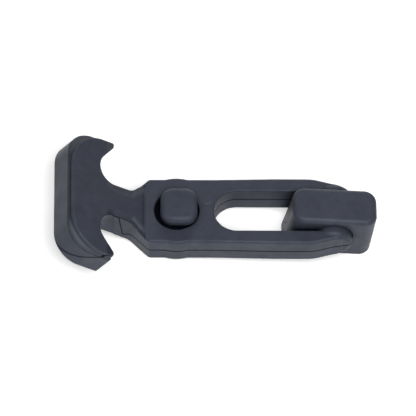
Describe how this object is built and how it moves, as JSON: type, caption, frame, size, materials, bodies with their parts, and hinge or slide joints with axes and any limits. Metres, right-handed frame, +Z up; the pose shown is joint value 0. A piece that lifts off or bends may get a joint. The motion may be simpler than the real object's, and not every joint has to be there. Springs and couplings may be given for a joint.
{
  "type": "rubber T draw latch",
  "caption": "Black rubber draw latch: a strap with a T handle, hook pockets and a mushroom button, its looped end pivoting in a rubber anchor block.",
  "frame": {"origin": "centre of the overall box in plan, on the flat base of the anchor", "axes": "+X along the latch from the T handle to the anchor, +Y across it, +Z up, out of the face that carries the button"},
  "size_m": [0.1298, 0.0554, 0.0295],
  "materials": {
    "strap_rubber": "matte",
    "anchor_rubber": "matte"
  },
  "bodies": {
    "strap": {"strap": "strap_rubber"},
    "anchor": {"anchor": "anchor_rubber"}
  },
  "joints": [
    {"name": "anchor_pivot", "type": "hinge", "parent": "strap", "child": "anchor", "pos_m": [0.04824, 0, 0.0134], "axis": [0, 1, 0], "continuous": true}
  ]
}
